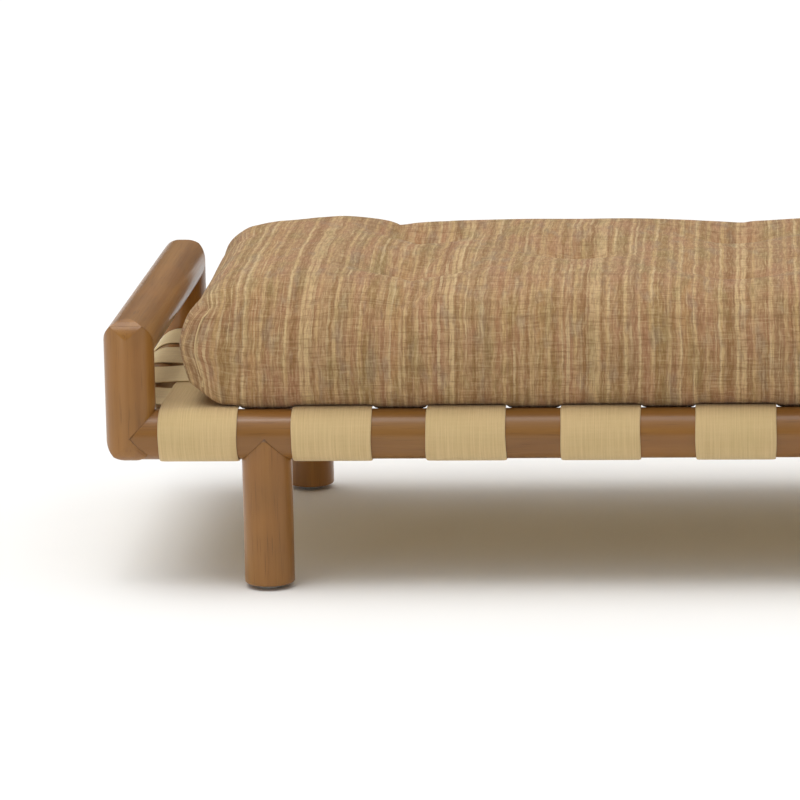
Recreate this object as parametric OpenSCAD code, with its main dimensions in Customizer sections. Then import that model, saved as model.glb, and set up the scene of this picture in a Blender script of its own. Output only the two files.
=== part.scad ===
// Daybed: two mitred end loops of round bar joined by two round side rails on four
// round legs, a woven webbing platform, and a loose tufted mattress.
// +X runs along the bed towards the foot, -Y is the front, +Z is up.
// The origin is on the floor at the middle of the bed. Sizes are in millimetres.

/* [Overall] */
// Length over the two end loops
overall_l = 1900; // [1640:10:2300]
// Width over the two side rails
overall_w = 762; // [700:2:1000]
// Height of the side rails' centre line above the floor
rail_h = 236; // [190:1:320]
// Height from the side rails' centre line to the top bars' centre line
loop_rise = 142; // [110:1:300]

/* [Bars] */
// Diameter of every bar, rail, post and leg
bar_d = 76; // [60:1:92]
// Rounding of the outer mitre corners of the end loops
mitre_round = 30; // [4:1:36]
// Rounding of the foot of each leg
leg_round = 4; // [1:0.5:8]

/* [Webbing] */
// Width of each strap
strap_w = 120; // [60:1:124]
// Thickness of each strap
strap_t = 3.2; // [2:0.1:5]
// Distance from an end loop's inner face to the edge of the first strap across
strap_inset = 6; // [1:1:40]
// Distance from a side rail's inner face to the edge of the first strap along
strap_side_gap = 2; // [1:0.5:6]
// Angle by which a strap turns round a rail, from its top to its tacked end
wrap_angle = 218; // [190:1:240]

/* [Mattress] */
// Height of the mattress
mattress_h = 179; // [120:1:220]
// Gap between a mattress end and an end loop's inner face
mattress_end_gap = 41; // [15:1:80]
// Distance by which each long side of the mattress stands over a side rail's axis
mattress_overhang = 14; // [0:1:30]
// Rounding of the mattress's long and short edges
mattress_round = 32; // [15:1:50]
// Rounding of the mattress's corners in plan
mattress_corner = 60; // [40:1:90]
// Thickness of the wadded cover around the core
cover_wall = 28; // [12:1:40]
// Number of tufts in each outer row; the middle row has one less
tuft_count = 3; // [2:1:5]
// Spacing of the tufts in a row
tuft_pitch = 504; // [200:2:560]
// Distance of the outer tuft rows from the middle row
tuft_row = 163; // [80:1:220]
// Diameter of the tufting twine
twine_d = 3; // [2:0.5:5]

/* [Fittings] */
// Height of each floor glide
glide_h = 7; // [4:0.5:12]
// Diameter of each floor glide
glide_d = 40; // [25:1:55]
// Diameter of the dowels in the mitre joints
dowel_d = 10; // [8:1:14]
// Length of the dowels in the mitre joints
dowel_l = 40; // [30:1:60]
// Distance between the two dowels of a mitre joint
dowel_pitch = 36; // [26:1:46]
// Diameter of the bolts that join the rails to the end loops
bolt_d = 8; // [6:1:10]
// Diameter of the bolt heads
bolt_head_d = 13; // [10:1:16]
// Height of the bolt heads
bolt_head_h = 8; // [6:1:10]
// Depth of the counterbores that hold the bolt heads
bolt_recess = 20; // [14:1:26]
// Distance from an end loop's inner face to its barrel nuts
nut_reach = 46; // [30:1:80]
// Diameter of the barrel nuts
nut_d = 14; // [12:1:16]
// Diameter of the studs that hold the legs
stud_d = 10; // [8:1:14]
// Length of a stud inside the rail, and again inside the leg
stud_l = 52; // [40:1:60]
// Diameter of the tack heads
tack_head_d = 9; // [7:0.5:12]
// Diameter of the tack shanks
tack_d = 1.8; // [1.4:0.1:3]
// Depth to which the tacks reach below the strap
tack_l = 12; // [8:1:18]
// Number of tacks on each strap end
tack_count = 3; // [2:1:5]

/* [Hidden] */
$fn = 64;

wood = "#8a5a34";
webbing = "#d3bd8a";
cloth = "#a98660";
steel = "#6d6c6a";
plastic = "#c9cac6";

bar_r = bar_d / 2;
loop_x = overall_l / 2 - bar_r;         // end loops' axis plane
rail_y = overall_w / 2 - bar_r;         // side rails' axis
top_h = rail_h + loop_rise;             // top bars' axis
mid_h = rail_h + loop_rise / 2;

cross_count = 9;                        // straps across, one node each
long_count = 4;                         // straps along, one node each
weave_gap = 0.2;                        // clearance between crossing straps
weave_rise = (strap_t + weave_gap) / 2; // rise and fall of a strap about its middle level
strap_h = rail_h + bar_r + strap_t / 2; // middle level of the webbing
cross_first = -loop_x + bar_r + strap_inset + strap_w / 2;
cross_pitch = -2 * cross_first / (cross_count - 1);
long_first = -rail_y + bar_r + strap_side_gap + strap_w / 2;
long_pitch = -2 * long_first / (long_count - 1);
nut_l = bar_r;                          // a barrel nut ends half way to the rail's faces
bend_steps = 6;                         // segments of one rise or fall
tack_angle = wrap_angle - 12;           // tacks sit just short of the strap's end
tack_head_h = 1.4;

leg_x = -cross_first - cross_pitch / 2; // legs stand between the first two straps
leg_notch = 0.5;                        // clearance of a strap round a leg
nut_x = loop_x - bar_r - nut_reach;
bolt_end = nut_x - nut_d;               // bottom of the bolt's blind hole
head_clear = 1;                         // clearance round a bolt head
mattress_l = 2 * (loop_x - bar_r - mattress_end_gap);
mattress_w = 2 * (rail_y + mattress_overhang);
rest_gap = 0.3;                         // clearance under the mattress
mattress_z = strap_h + weave_rise + strap_t / 2 + rest_gap;
core_fit = 0.5;                         // clearance round the core and the twine
twine_bite = 10;                        // reach of the twine into the cover
glide_bevel = 1.5;
nail_d = 3;
nail_head_d = 10;
nail_head_h = 1.5;
nail_cover = 2.5;                       // plastic under the nail's head
nail_l = 26;

// Place of each cross strap along the bed and of each long strap across it.
function cross_x(i) = cross_first + i * cross_pitch;
function long_y(j) = long_first + j * long_pitch;

// +1 where cross strap i passes over long strap j, -1 where it passes under.
function weave(i, j) = (i + j) % 2 == 0 ? 1 : -1;

// A smooth step from a to b, sampled at bend_steps points along u0 to u1.
function bend(u0, u1, a, b) = [for (k = [0 : bend_steps])
    [u0 + (u1 - u0) * k / bend_steps, a + (b - a) * (1 - cos(180 * k / bend_steps)) / 2]];

// A strap's middle line from one rail's top to the other's. c lists the centres of
// the straps it crosses, s the side it takes at each, and e is the rails' distance.
function span(c, s, e, n) = concat(
    bend(-e + bar_r / 4, c[0] - strap_w / 2, 0, s[0] * weave_rise),
    [for (k = [1 : n - 1]) each
        bend(c[k - 1] + strap_w / 2, c[k] - strap_w / 2, s[k - 1] * weave_rise, s[k] * weave_rise)],
    bend(c[n - 1] + strap_w / 2, e - bar_r / 4, s[n - 1] * weave_rise, 0));

function reversed(p) = [for (k = [len(p) - 1 : -1 : 0]) p[k]];

// The turn of a strap round the rail at the high end, from the rail's top outward.
module wrap_section() {
    k = 2 * bar_d;
    difference() {
        circle(r = bar_r + strap_t);
        circle(r = bar_r);
        polygon([[0, 0], [k * sin(wrap_angle), k * cos(wrap_angle)], [-2 * k, k * cos(wrap_angle)],
            [-2 * k, k], [0, k]]);
    }
}

// The strap's section: its span between the rails' tops, and a turn round each rail.
module strap_section(c, s, e, n) {
    line = concat([[-e, 0]], span(c, s, e, n), [[e, 0]]);
    upper = [for (p = line) [p[0], strap_h + p[1] + strap_t / 2]];
    lower = [for (p = line) [p[0], strap_h + p[1] - strap_t / 2]];
    polygon(concat(upper, reversed(lower)));
    translate([e, rail_h]) wrap_section();
    translate([-e, rail_h]) mirror([1, 0]) wrap_section();
}

module rounded_rect(w, h, r) {
    square([w - 2 * r, h], center = true);
    square([w, h - 2 * r], center = true);
    for (x = [-1, 1], y = [-1, 1])
        translate([x * (w / 2 - r), y * (h / 2 - r)]) circle(r = r);
}

// Copies at the four corners of the frame, children turned to face outward.
module at_corners(x, y, z = 0) {
    for (sx = [-1, 1], sy = [-1, 1]) translate([sx * x, sy * y, z]) children();
}

/* ---- end loops ---- */

module along_x(r, l) { rotate([0, 90, 0]) cylinder(r = r, h = l, center = true); }
module along_y(r, l) { rotate([90, 0, 0]) cylinder(r = r, h = l, center = true); }

// The loop's outer outline with its eased corners, as a slab square to X.
module loop_outline() {
    translate([0, 0, mid_h]) rotate([90, 0, 90])
        linear_extrude(height = 2 * bar_d, center = true)
            rounded_rect(overall_w, loop_rise + bar_d, mitre_round);
}

// The quarter of the loop's plane that belongs to a post (side = -1 front, 1 back).
module post_share(side) {
    half = loop_rise / 2;
    rotate([90, 0, 90]) linear_extrude(height = 2 * bar_d, center = true)
        polygon([[side * (rail_y - half), mid_h], [side * (rail_y + bar_d), mid_h + half + bar_d],
            [side * (rail_y + bar_d), mid_h - half - bar_d]]);
}

// Two dowels through every mitre, square to its plane, side by side along its diagonal.
module mitre_dowel_set(r) {
    for (sy = [-1, 1], sz = [-1, 1])
        translate([0, sy * rail_y, mid_h + sz * loop_rise / 2])
            rotate([-sy * sz * 45, 0, 0])
                for (d = [-1, 1]) translate([0, 0, d * dowel_pitch / 2]) along_y(r, dowel_l);
}

// Bolt holes and counterbores through the lower corners of a loop, and on into the
// side rails past the barrel nuts. The heads are outside.
module bolt_way(end) {
    for (sy = [-1, 1]) translate([0, sy * rail_y, rail_h]) {
        translate([end * (bolt_end + overall_l) / 2, 0, 0]) along_x(bolt_d / 2, overall_l - bolt_end);
        translate([end * (loop_x + bar_r - bolt_recess + overall_l / 2), 0, 0])
            along_x(bolt_head_d / 2 + head_clear, overall_l);
    }
}

module loop_post(end, side) {
    color(wood) translate([end * loop_x, 0, 0]) difference() {
        intersection() {
            translate([0, side * rail_y, mid_h]) cylinder(r = bar_r, h = loop_rise + bar_d, center = true);
            post_share(side);
            loop_outline();
        }
        mitre_dowel_set(dowel_d / 2);
        translate([-end * loop_x, 0, 0]) bolt_way(end);
    }
}

module loop_bar(end, height) {
    color(wood) translate([end * loop_x, 0, 0]) difference() {
        intersection() {
            translate([0, 0, height]) along_y(bar_r, overall_w);
            loop_outline();
        }
        for (side = [-1, 1]) post_share(side);
        mitre_dowel_set(dowel_d / 2);
        if (height == rail_h) translate([-end * loop_x, 0, 0]) {
            bolt_way(end);
            long_tack_shanks();
        }
    }
}

module top_bar(end) { loop_bar(end, top_h); }
module end_rail(end) { loop_bar(end, rail_h); }

/* ---- side rails and legs ---- */

// Everything of one end loop's lower corners that a side rail is coped against.
module loop_corner(end) {
    translate([end * loop_x, 0, 0]) {
        intersection() {
            for (side = [-1, 1]) translate([0, side * rail_y, mid_h])
                cylinder(r = bar_r, h = loop_rise + bar_d, center = true);
            for (side = [-1, 1]) post_share(side);
        }
        difference() {
            translate([0, 0, rail_h]) along_y(bar_r, overall_w);
            for (side = [-1, 1]) post_share(side);
        }
    }
}

module side_rail(side) {
    color(wood) difference() {
        translate([0, side * rail_y, rail_h]) along_x(bar_r, 2 * loop_x);
        for (end = [-1, 1]) {
            loop_corner(end);
            bolt_way(end);
            nut_hole(end, side);
        }
        leg_stud_set();
        cross_tack_shanks();
    }
}

module leg(end, side) {
    leg_l = rail_h - glide_h;
    color(wood) difference() {
        translate([end * leg_x, side * rail_y, glide_h]) rotate_extrude()
            difference() {
                union() {
                    square([bar_r - leg_round, leg_l]);
                    translate([0, leg_round]) square([bar_r, leg_l - leg_round]);
                    translate([bar_r - leg_round, leg_round]) circle(r = leg_round);
                }
                translate([-bar_r, 0]) square([bar_r, leg_l]);
            }
        translate([0, side * rail_y, rail_h]) along_x(bar_r, 2 * loop_x);
        leg_stud_set();
        glide_nail_set();
    }
}

module glide(end, side) {
    color(plastic) translate([end * leg_x, side * rail_y, 0]) difference() {
        union() {
            cylinder(r1 = glide_d / 2 - glide_bevel, r2 = glide_d / 2, h = glide_bevel);
            translate([0, 0, glide_bevel]) cylinder(r = glide_d / 2, h = glide_h - glide_bevel);
        }
        translate([0, 0, nail_cover]) nail();
    }
}

/* ---- webbing ---- */

module cross_strap(i) {
    color(webbing) difference() {
        translate([cross_x(i), 0, 0]) rotate([90, 0, 90])
            linear_extrude(height = strap_w, center = true)
                strap_section([for (j = [0 : long_count - 1]) long_y(j)],
                    [for (j = [0 : long_count - 1]) weave(i, j)], rail_y, long_count);
        cross_tack_shanks();
        at_corners(leg_x, rail_y) cylinder(r = bar_r + leg_notch, h = rail_h);
    }
}

module long_strap(j) {
    color(webbing) difference() {
        translate([0, long_y(j), 0]) rotate([90, 0, 0])
            linear_extrude(height = strap_w, center = true)
                strap_section([for (i = [0 : cross_count - 1]) cross_x(i)],
                    [for (i = [0 : cross_count - 1]) -weave(i, j)], loop_x, cross_count);
        long_tack_shanks();
    }
}

/* ---- fittings ---- */

module mitre_dowels() {
    color("#c49a6c") for (end = [-1, 1]) translate([end * loop_x, 0, 0]) mitre_dowel_set(dowel_d / 2);
}

// A socket bolt along X: its head's inner face is at the origin, its shank runs to +X.
module bolt() {
    shank = loop_x + bar_r - bolt_recess - nut_x + nut_d / 2;
    translate([shank / 2, 0, 0]) along_x(bolt_d / 2, shank);
    difference() {
        translate([-bolt_head_h / 2, 0, 0]) along_x(bolt_head_d / 2, bolt_head_h);
        translate([-bolt_head_h, 0, 0]) rotate([0, 90, 0])
            cylinder(r = bolt_head_d / 4, h = bolt_head_h, center = true, $fn = 6);
    }
}

module rail_bolts() {
    color(steel) for (end = [-1, 1], side = [-1, 1])
        translate([end * (loop_x + bar_r - bolt_recess), side * rail_y, rail_h])
            rotate([0, 0, end < 0 ? 0 : 180]) bolt();
}

// The hole that a barrel nut goes into, drilled from the rail's inner side.
module nut_hole(end, side) {
    translate([end * nut_x, side * rail_y, rail_h])
        translate([0, -side * (overall_w - nut_l) / 2, 0]) along_y(nut_d / 2, overall_w);
}

module barrel_nuts() {
    color(steel) difference() {
        at_corners(nut_x, rail_y, rail_h) along_y(nut_d / 2, nut_l);
        for (end = [-1, 1]) bolt_way(end);
    }
}

module leg_stud_set() {
    at_corners(leg_x, rail_y, rail_h - bar_r) cylinder(r = stud_d / 2, h = 2 * stud_l, center = true);
}

module leg_studs() { color(steel) leg_stud_set(); }

module nail() {
    cylinder(r = nail_head_d / 2, h = nail_head_h);
    cylinder(r = nail_d / 2, h = nail_l);
}

module glide_nail_set() { at_corners(leg_x, rail_y, nail_cover) nail(); }
module glide_nails() { color(steel) glide_nail_set(); }

// Places its children on a strap's outer face round a rail, pointing outward along +Z.
module on_wrap(side) {
    rotate([-side * tack_angle, 0, 0]) translate([0, 0, bar_r + strap_t]) children();
}

module at_cross_tacks() {
    for (i = [0 : cross_count - 1], side = [-1, 1], k = [0 : tack_count - 1])
        translate([cross_x(i) + strap_w * ((k + 0.5) / tack_count - 0.5), side * rail_y, rail_h])
            on_wrap(side) children();
}

module at_long_tacks() {
    for (j = [0 : long_count - 1], end = [-1, 1], k = [0 : tack_count - 1])
        translate([end * loop_x, long_y(j) + strap_w * ((k + 0.5) / tack_count - 0.5), rail_h])
            rotate([0, 0, -90]) on_wrap(end) children();
}

module tack_shank() {
    translate([0, 0, -tack_l]) cylinder(r = tack_d / 2, h = tack_l + tack_head_h / 2, $fn = 24);
}
module cross_tack_shanks() { at_cross_tacks() tack_shank(); }
module long_tack_shanks() { at_long_tacks() tack_shank(); }

// The head rests on the curved strap along its middle line.
module tack() {
    tack_shank();
    cylinder(r = tack_head_d / 2, h = tack_head_h, $fn = 24);
}

module cross_tacks() { color(steel) at_cross_tacks() tack(); }
module long_tacks() { color(steel) at_long_tacks() tack(); }

/* ---- mattress ---- */

// A soft block with rounded edges, shrunk by inset on every side.
module soft_block(inset) {
    l = mattress_l - 2 * inset;
    w = mattress_w - 2 * inset;
    h = mattress_h - 2 * inset;
    edge = max(mattress_round - inset, 4);
    translate([0, 0, mattress_z + mattress_h / 2]) intersection() {
        linear_extrude(height = h, center = true) rounded_rect(l, w, mattress_corner - inset);
        rotate([90, 0, 90]) linear_extrude(height = l, center = true) rounded_rect(w, h, edge);
        rotate([90, 0, 0]) linear_extrude(height = w, center = true) rounded_rect(l, h, edge);
    }
}

module at_tufts() {
    for (row = [-1, 0, 1]) {
        n = tuft_count - (row == 0 ? 1 : 0);
        for (k = [0 : n - 1]) translate([(k - (n - 1) / 2) * tuft_pitch, row * tuft_row, 0]) children();
    }
}

// Twine through the core, reaching a little into the cover above and below.
module twine(r) {
    h = mattress_h - 2 * cover_wall + 2 * twine_bite;
    at_tufts() translate([0, 0, mattress_z + mattress_h / 2]) cylinder(r = r, h = h, center = true);
}

module mattress_cover() {
    color(cloth) difference() {
        soft_block(0);
        soft_block(cover_wall);
        twine(twine_d / 2 + core_fit);
    }
}

module mattress_core() {
    color("#e8dfc8") difference() {
        soft_block(cover_wall + core_fit);
        twine(twine_d / 2 + core_fit);
    }
}

module tuft_ties() { color("#b39b78") twine(twine_d / 2); }

loop_post(-1, -1);  // head_post_front
loop_post(-1, 1);  // head_post_back
top_bar(-1);  // head_top_bar
end_rail(-1);  // head_end_rail
loop_post(1, -1);  // foot_post_front
loop_post(1, 1);  // foot_post_back
top_bar(1);  // foot_top_bar
end_rail(1);  // foot_end_rail
side_rail(-1);  // side_rail_front
side_rail(1);  // side_rail_back
leg(-1, -1);  // leg_head_front
leg(-1, 1);  // leg_head_back
leg(1, -1);  // leg_foot_front
leg(1, 1);  // leg_foot_back
glide(-1, -1);  // glide_head_front
glide(-1, 1);  // glide_head_back
glide(1, -1);  // glide_foot_front
glide(1, 1);  // glide_foot_back
cross_strap(0);  // cross_strap_1
cross_strap(1);  // cross_strap_2
cross_strap(2);  // cross_strap_3
cross_strap(3);  // cross_strap_4
cross_strap(4);  // cross_strap_5
cross_strap(5);  // cross_strap_6
cross_strap(6);  // cross_strap_7
cross_strap(7);  // cross_strap_8
cross_strap(8);  // cross_strap_9
long_strap(0);  // long_strap_1
long_strap(1);  // long_strap_2
long_strap(2);  // long_strap_3
long_strap(3);  // long_strap_4
mitre_dowels();
rail_bolts();
barrel_nuts();
leg_studs();
glide_nails();
cross_tacks();
long_tacks();
mattress_cover();
mattress_core();
tuft_ties();
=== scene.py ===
"""Daybed looks: polished round-bar frame, woven webbing and a tufted striped mattress.

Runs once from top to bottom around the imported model. Lengths are in metres, +X runs
towards the foot of the bed, -Y is the front and the floor is at Z = 0.
"""

import math

import bpy
import numpy as np
from bpy.props import (
    FloatProperty,
    FloatVectorProperty,
    IntProperty,
    PointerProperty,
)
from mathutils import Matrix, Vector


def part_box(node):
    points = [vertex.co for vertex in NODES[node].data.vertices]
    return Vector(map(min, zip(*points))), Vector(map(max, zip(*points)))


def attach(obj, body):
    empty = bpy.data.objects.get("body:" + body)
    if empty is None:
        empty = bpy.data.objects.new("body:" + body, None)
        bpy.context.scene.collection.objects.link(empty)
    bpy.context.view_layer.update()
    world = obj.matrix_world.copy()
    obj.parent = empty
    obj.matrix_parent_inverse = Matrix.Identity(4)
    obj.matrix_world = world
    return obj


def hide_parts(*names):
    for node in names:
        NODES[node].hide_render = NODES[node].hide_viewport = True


bl_info = {
    "name": "Daybed Finish",
    "version": (1, 0, 0),
    "blender": (4, 5, 0),
    "location": "3D View > Sidebar > Daybed",
    "description": "Finishes a round-bar daybed with webbing and a tufted mattress",
    "category": "Object",
}

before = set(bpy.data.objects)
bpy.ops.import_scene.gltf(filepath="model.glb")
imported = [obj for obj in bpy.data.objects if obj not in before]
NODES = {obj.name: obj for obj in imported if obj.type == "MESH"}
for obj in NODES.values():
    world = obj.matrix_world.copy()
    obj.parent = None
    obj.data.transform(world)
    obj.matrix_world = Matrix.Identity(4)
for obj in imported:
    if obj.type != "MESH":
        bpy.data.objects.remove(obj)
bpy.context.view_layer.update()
MM = 0.001

# ---------------------------------------------------------------- sizes from the frame


def middle(node):
    """Centre of a CAD node's box."""
    low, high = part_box(node)
    return (low + high) / 2


def numbered(prefix):
    """The CAD nodes whose names are the prefix and a number, in order."""
    found = [n for n in NODES if n.startswith(prefix)]
    return sorted(found, key=lambda n: int(n[len(prefix):]))


RAIL_LOW, RAIL_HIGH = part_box("side_rail_front")
BAR_R = (RAIL_HIGH.z - RAIL_LOW.z) / 2
RAIL_Z = (RAIL_HIGH.z + RAIL_LOW.z) / 2
RAIL_Y = -(RAIL_HIGH.y + RAIL_LOW.y) / 2
LOOP_X = middle("foot_end_rail").x
CROSS = numbered("cross_strap_")
LONG = numbered("long_strap_")
STRAP_LOW, STRAP_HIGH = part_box(CROSS[0])
STRAP_W = STRAP_HIGH.x - STRAP_LOW.x
STRAP_T = STRAP_HIGH.y - RAIL_Y - BAR_R
STRAP_Z = RAIL_Z + BAR_R + STRAP_T / 2
WEAVE_RISE = STRAP_HIGH.z - STRAP_Z - STRAP_T / 2
BED_LOW, BED_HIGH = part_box("mattress_cover")
TWINE_LOW, TWINE_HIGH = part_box("tuft_ties")
TWINE_R = 1.5 * MM
TUFT_COLUMNS = 5
REST = 0.3 * MM          # gap between the mattress's underside and what it lies on
SAG_RUN = 4 * MM         # length over which the underside drops off a strap's edge
SETTLE_BAND = 30 * MM    # height over which the underside's sag fades out
CORE_DEPTH = 5 * MM      # depth of the filling's surface under the cover's
EDGE_BAND = 80 * MM      # how far in from an edge its bulge starts
OPEN_FROM = max(abs(middle(n).y) for n in LONG) + STRAP_W / 2  # where the open squares start
OPEN_RUN = 14 * MM       # width over which the filling sags in from the strap along the bed
OPEN_SAG = 13 * MM       # how far the filling sags in an open square
PRESS_BAND = 9 * MM      # height up to which the underside is pressed down
END_LEAN = 8 * MM        # how much further out the back corners stand than the front ones
STITCH_HALF = 4 * MM     # half length of the twine's stitch in each dimple
FOLD_L = 75 * MM         # half length of the fold through a tuft
FOLD_W = 17 * MM         # half width of the fold through a tuft
FOOT_SHARE = 0.16        # share of the height over which a side's foot is drawn in
SEAM_CELLS = 2           # grid cells between a corner and its seam
SEAM_IN = 22 * MM        # distance between a corner and its seam
VALLEY_R = 60 * MM       # half width of the valley across the middle of the bed
PINCH_R = 17 * MM        # radius of the pinch at each upper corner
BROAD_SWELL = 1.6 * MM   # height of the top's slow swells
FINE_SWELL = 1.2 * MM    # height of the top's quicker swells
PIN_R = 16 * MM          # how near a tuft the cover is held in the simulation
EASED_EDGE = 1.8 * MM    # apparent rounding of the bars' edges
WRAP_TURN = math.radians(214)  # how far a strap goes round a rail
WRAP_POINTS = 60         # points of a strap's path round a rail
SPAN_STEP = 8 * MM       # spacing of a strap's path between the rails

# ---------------------------------------------------------------- user settings


def colour(name, description, red, green, blue):
    """A colour property given as the 0 to 255 numbers of a paint chart."""
    value = [linear(c / 255) for c in (red, green, blue)]
    return FloatVectorProperty(
        name=name, description=description, default=value, size=3, subtype="COLOR", min=0, max=1
    )


def linear(c):
    """The linear light value of a display value: a power curve with a straight toe."""
    return c / 12.92 if c <= 0.04045 else ((c + 0.055) / 1.055) ** 2.4


def length(name, description, default):
    """A length property in metres."""
    return FloatProperty(
        name=name, description=description, default=default, min=0, subtype="DISTANCE", unit="LENGTH"
    )


class FrameSettings(bpy.types.PropertyGroup):
    """Finish of the bars and fittings."""

    light_wood: colour("Light wood", "Colour of the pale growth bands", 170, 121, 56)
    dark_wood: colour("Dark wood", "Colour of the dark growth bands", 124, 79, 28)
    pore_wood: colour("Pores", "Colour of the fine open pores", 84, 50, 18)
    dowel_wood: colour("Dowels", "Colour of the raw dowels", 205, 168, 122)
    steel: colour("Steel", "Colour of bolts, nuts, studs and nails", 150, 148, 144)
    tack_steel: colour("Tacks", "Colour of the dulled tacks", 140, 128, 100)
    glide: colour("Glides", "Colour of the floor glides", 196, 198, 194)


class WebbingSettings(bpy.types.PropertyGroup):
    """Sizes and colours of the straps."""

    straw: colour("Straw", "Main colour of the webbing across the bed", 226, 198, 146)
    # Painted light: the same webbing as across the bed, made lighter so the straps along the bed look lit
    # where they lie in shade by the end rails and posts.
    straw_lit: colour("Pale straw", "Main colour of the webbing along the bed", 250, 230, 180)
    # Dark straw tints random threads and also paints the shade in the weave's hollows.
    straw_dark_and_shade: colour("Dark straw", "Colour in the hollows of the weave", 172, 138, 88)
    rib: length("Rib", "Distance between two weft ribs", 2.4 * MM)
    cord: length("Cord", "Distance between two warp cords", 1.7 * MM)
    edge_drift: length("Edge drift", "How far a strap's edges wander", 0.5 * MM)


class MattressSettings(bpy.types.PropertyGroup):
    """Sizes and colours of the mattress."""

    cell: length("Cell", "Spacing of the cover's grid", 12 * MM)
    top_round: length("Top rounding", "Rounding of the upper edges", 30 * MM)
    foot_round: length("Foot rounding", "Rounding of the lower edges", 12 * MM)
    end_fall: length("End fall", "Length over which the top falls towards an end", 230 * MM)
    end_drop: length("End drop", "How far the top falls towards an end", 16 * MM)
    end_tuck: length("End tuck", "Length over which the underside rises at an end", 64 * MM)
    end_lift: length("End lift", "How far the underside rises at an end", 30 * MM)
    side_drop: length("Side drop", "How far the top falls towards the long sides", 3 * MM)
    tuft_depth: length("Tuft depth", "How deep the twine pulls the top down", 15 * MM)
    valley: length("Valley", "Depth of the valley across the middle of the bed", 4.5 * MM)
    fold: length("Fold", "Depth of the fold along the bed through a tuft", 9 * MM)
    side_tuck: length("Side tuck", "How far the foot of a long side is drawn in", 9 * MM)
    tuft_spread: length("Tuft spread", "Radius of the dimple round a tuft", 58 * MM)
    side_bulge: length("Side bulge", "How far the long sides swell", 7 * MM)
    end_bulge: length("End bulge", "How far the ends swell", 20 * MM)
    pinch: length("Pinch", "Depth of the pinch at each upper corner", 9 * MM)
    swell: length("Swell", "Rise of the top that is left to the simulation", 4 * MM)
    settle: length("Settle", "Largest move of the cover in the simulation", 24 * MM)
    frames: IntProperty(name="Frames", description="Steps of the simulation", default=20, min=2)
    repeat: length("Repeat", "Width of one repeat of the stripes", 218 * MM)
    stripe_shift: length("Stripe shift", "Place of the first cream stripe", 206.4 * MM)
    thread: length("Thread", "Distance between two threads of the cover", 1.9 * MM)
    seam_r: length("Seam", "Radius of the corner seams", 1.5 * MM)
    seam_tone: colour("Seams", "Colour of the seams", 216, 186, 138)
    filling: colour("Filling", "Colour of the cotton filling", 232, 223, 200)
    twine: colour("Twine", "Colour of the tufting twine", 160, 128, 90)


class StageSettings(bpy.types.PropertyGroup):
    """Camera, floor and light."""

    floor_tone: colour("Floor", "Colour of the floor", 250, 250, 249)
    sky_low: FloatProperty(
        name="Horizon", description="Strength of the white surroundings at the horizon", default=0.08, min=0
    )
    sky_high: FloatProperty(
        name="Zenith", description="Strength of the white surroundings overhead", default=1.0, min=0
    )
    sun: FloatProperty(name="Sun", description="Strength of the broad overhead light", default=1.3, min=0)
    eye: FloatVectorProperty(
        name="Eye", description="Place of the camera", default=(0.0273, -7.2468, 1.7054),
        size=3, subtype="TRANSLATION", unit="LENGTH",
    )
    tilt: FloatProperty(
        name="Tilt", description="Angle below the horizon", default=math.radians(11.574), subtype="ANGLE"
    )
    turn: FloatProperty(
        name="Turn", description="Angle to the left of straight ahead",
        default=math.radians(4.399), subtype="ANGLE",
    )
    roll: FloatProperty(
        name="Roll", description="Clockwise roll of the camera", default=math.radians(1.133), subtype="ANGLE"
    )
    lens: FloatProperty(name="Lens", description="Focal length on a 36 mm sensor", default=211.5, min=10)


# The stripes of one repeat of the cover: distance from the cream stripe in millimetres,
# width in millimetres, and display colour. The ground colour fills what is between.
GROUND = (184, 146, 104)
STRIPES = (
    (0, 6, (232, 200, 148)),
    (8, 4, (158, 118, 74)),
    (15, 3, (214, 178, 124)),
    (24, 9, (190, 154, 110)),
    (34, 5, (154, 116, 70)),
    (42, 4, (226, 192, 138)),
    (53, 12, (168, 132, 94)),
    (63, 3, (206, 170, 120)),
    (71, 5, (176, 128, 88)),
    (80, 4, (214, 178, 122)),
    (93, 14, (164, 130, 78)),
    (106, 4, (216, 182, 130)),
    (114, 3, (160, 118, 72)),
    (121, 5, (222, 188, 134)),
    (134, 12, (190, 146, 96)),
    (146, 3, (224, 190, 136)),
    (154, 6, (160, 122, 74)),
    (164, 3, (212, 176, 124)),
    (174, 10, (180, 136, 96)),
    (185, 4, (218, 182, 126)),
    (197, 9, (152, 108, 66)),
    (209, 4, (228, 196, 144)),
)


# ---------------------------------------------------------------- materials


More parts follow.
